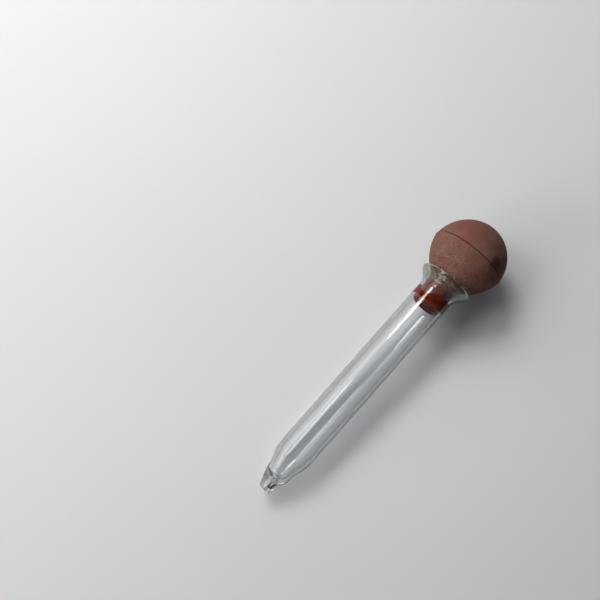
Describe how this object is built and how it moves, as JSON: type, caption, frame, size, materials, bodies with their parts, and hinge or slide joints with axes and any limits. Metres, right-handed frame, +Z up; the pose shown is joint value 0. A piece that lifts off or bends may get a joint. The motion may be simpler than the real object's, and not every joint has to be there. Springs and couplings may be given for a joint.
{
  "type": "glass bulb syringe",
  "caption": "Blunt-tipped glass bulb syringe: clear drawn barrel with a flared mouth, and a hollow red-brown rubber bulb plugged into it, lying on its side.",
  "frame": {"origin": "on the floor under the middle of the syringe's box as it lies at rest on the bulb's ridge and the barrel's shoulder", "axes": "+X runs from the tip towards the bulb, in plan; the syringe's own axis rises 4.73 degrees towards +X; +Z up; +Y across"},
  "size_m": [0.1228, 0.0286, 0.0284],
  "materials": {
    "clear_glass": "clear soda glass, fire polished, faintly grey-green at the lip and in the solid tip",
    "red_rubber": "matt aged red-brown natural rubber with a pale bloom and fine specks"
  },
  "bodies": {
    "barrel": {"glass_barrel": "clear_glass"},
    "bulb": {"bulb_base": "red_rubber"},
    "crown": {"bulb_crown": "red_rubber"}
  },
  "joints": [
    {"name": "bulb_pull", "type": "slide", "parent": "barrel", "child": "bulb", "axis": [0.9966, 0, 0.0824], "range_m": [0, 0.03]},
    {"name": "bulb_squeeze", "type": "slide", "parent": "bulb", "child": "crown", "axis": [-0.9966, 0, -0.0824], "range_m": [0, 0.008], "stiffness_N_per_m": 500, "deforming": ["bulb_crown"]}
  ]
}
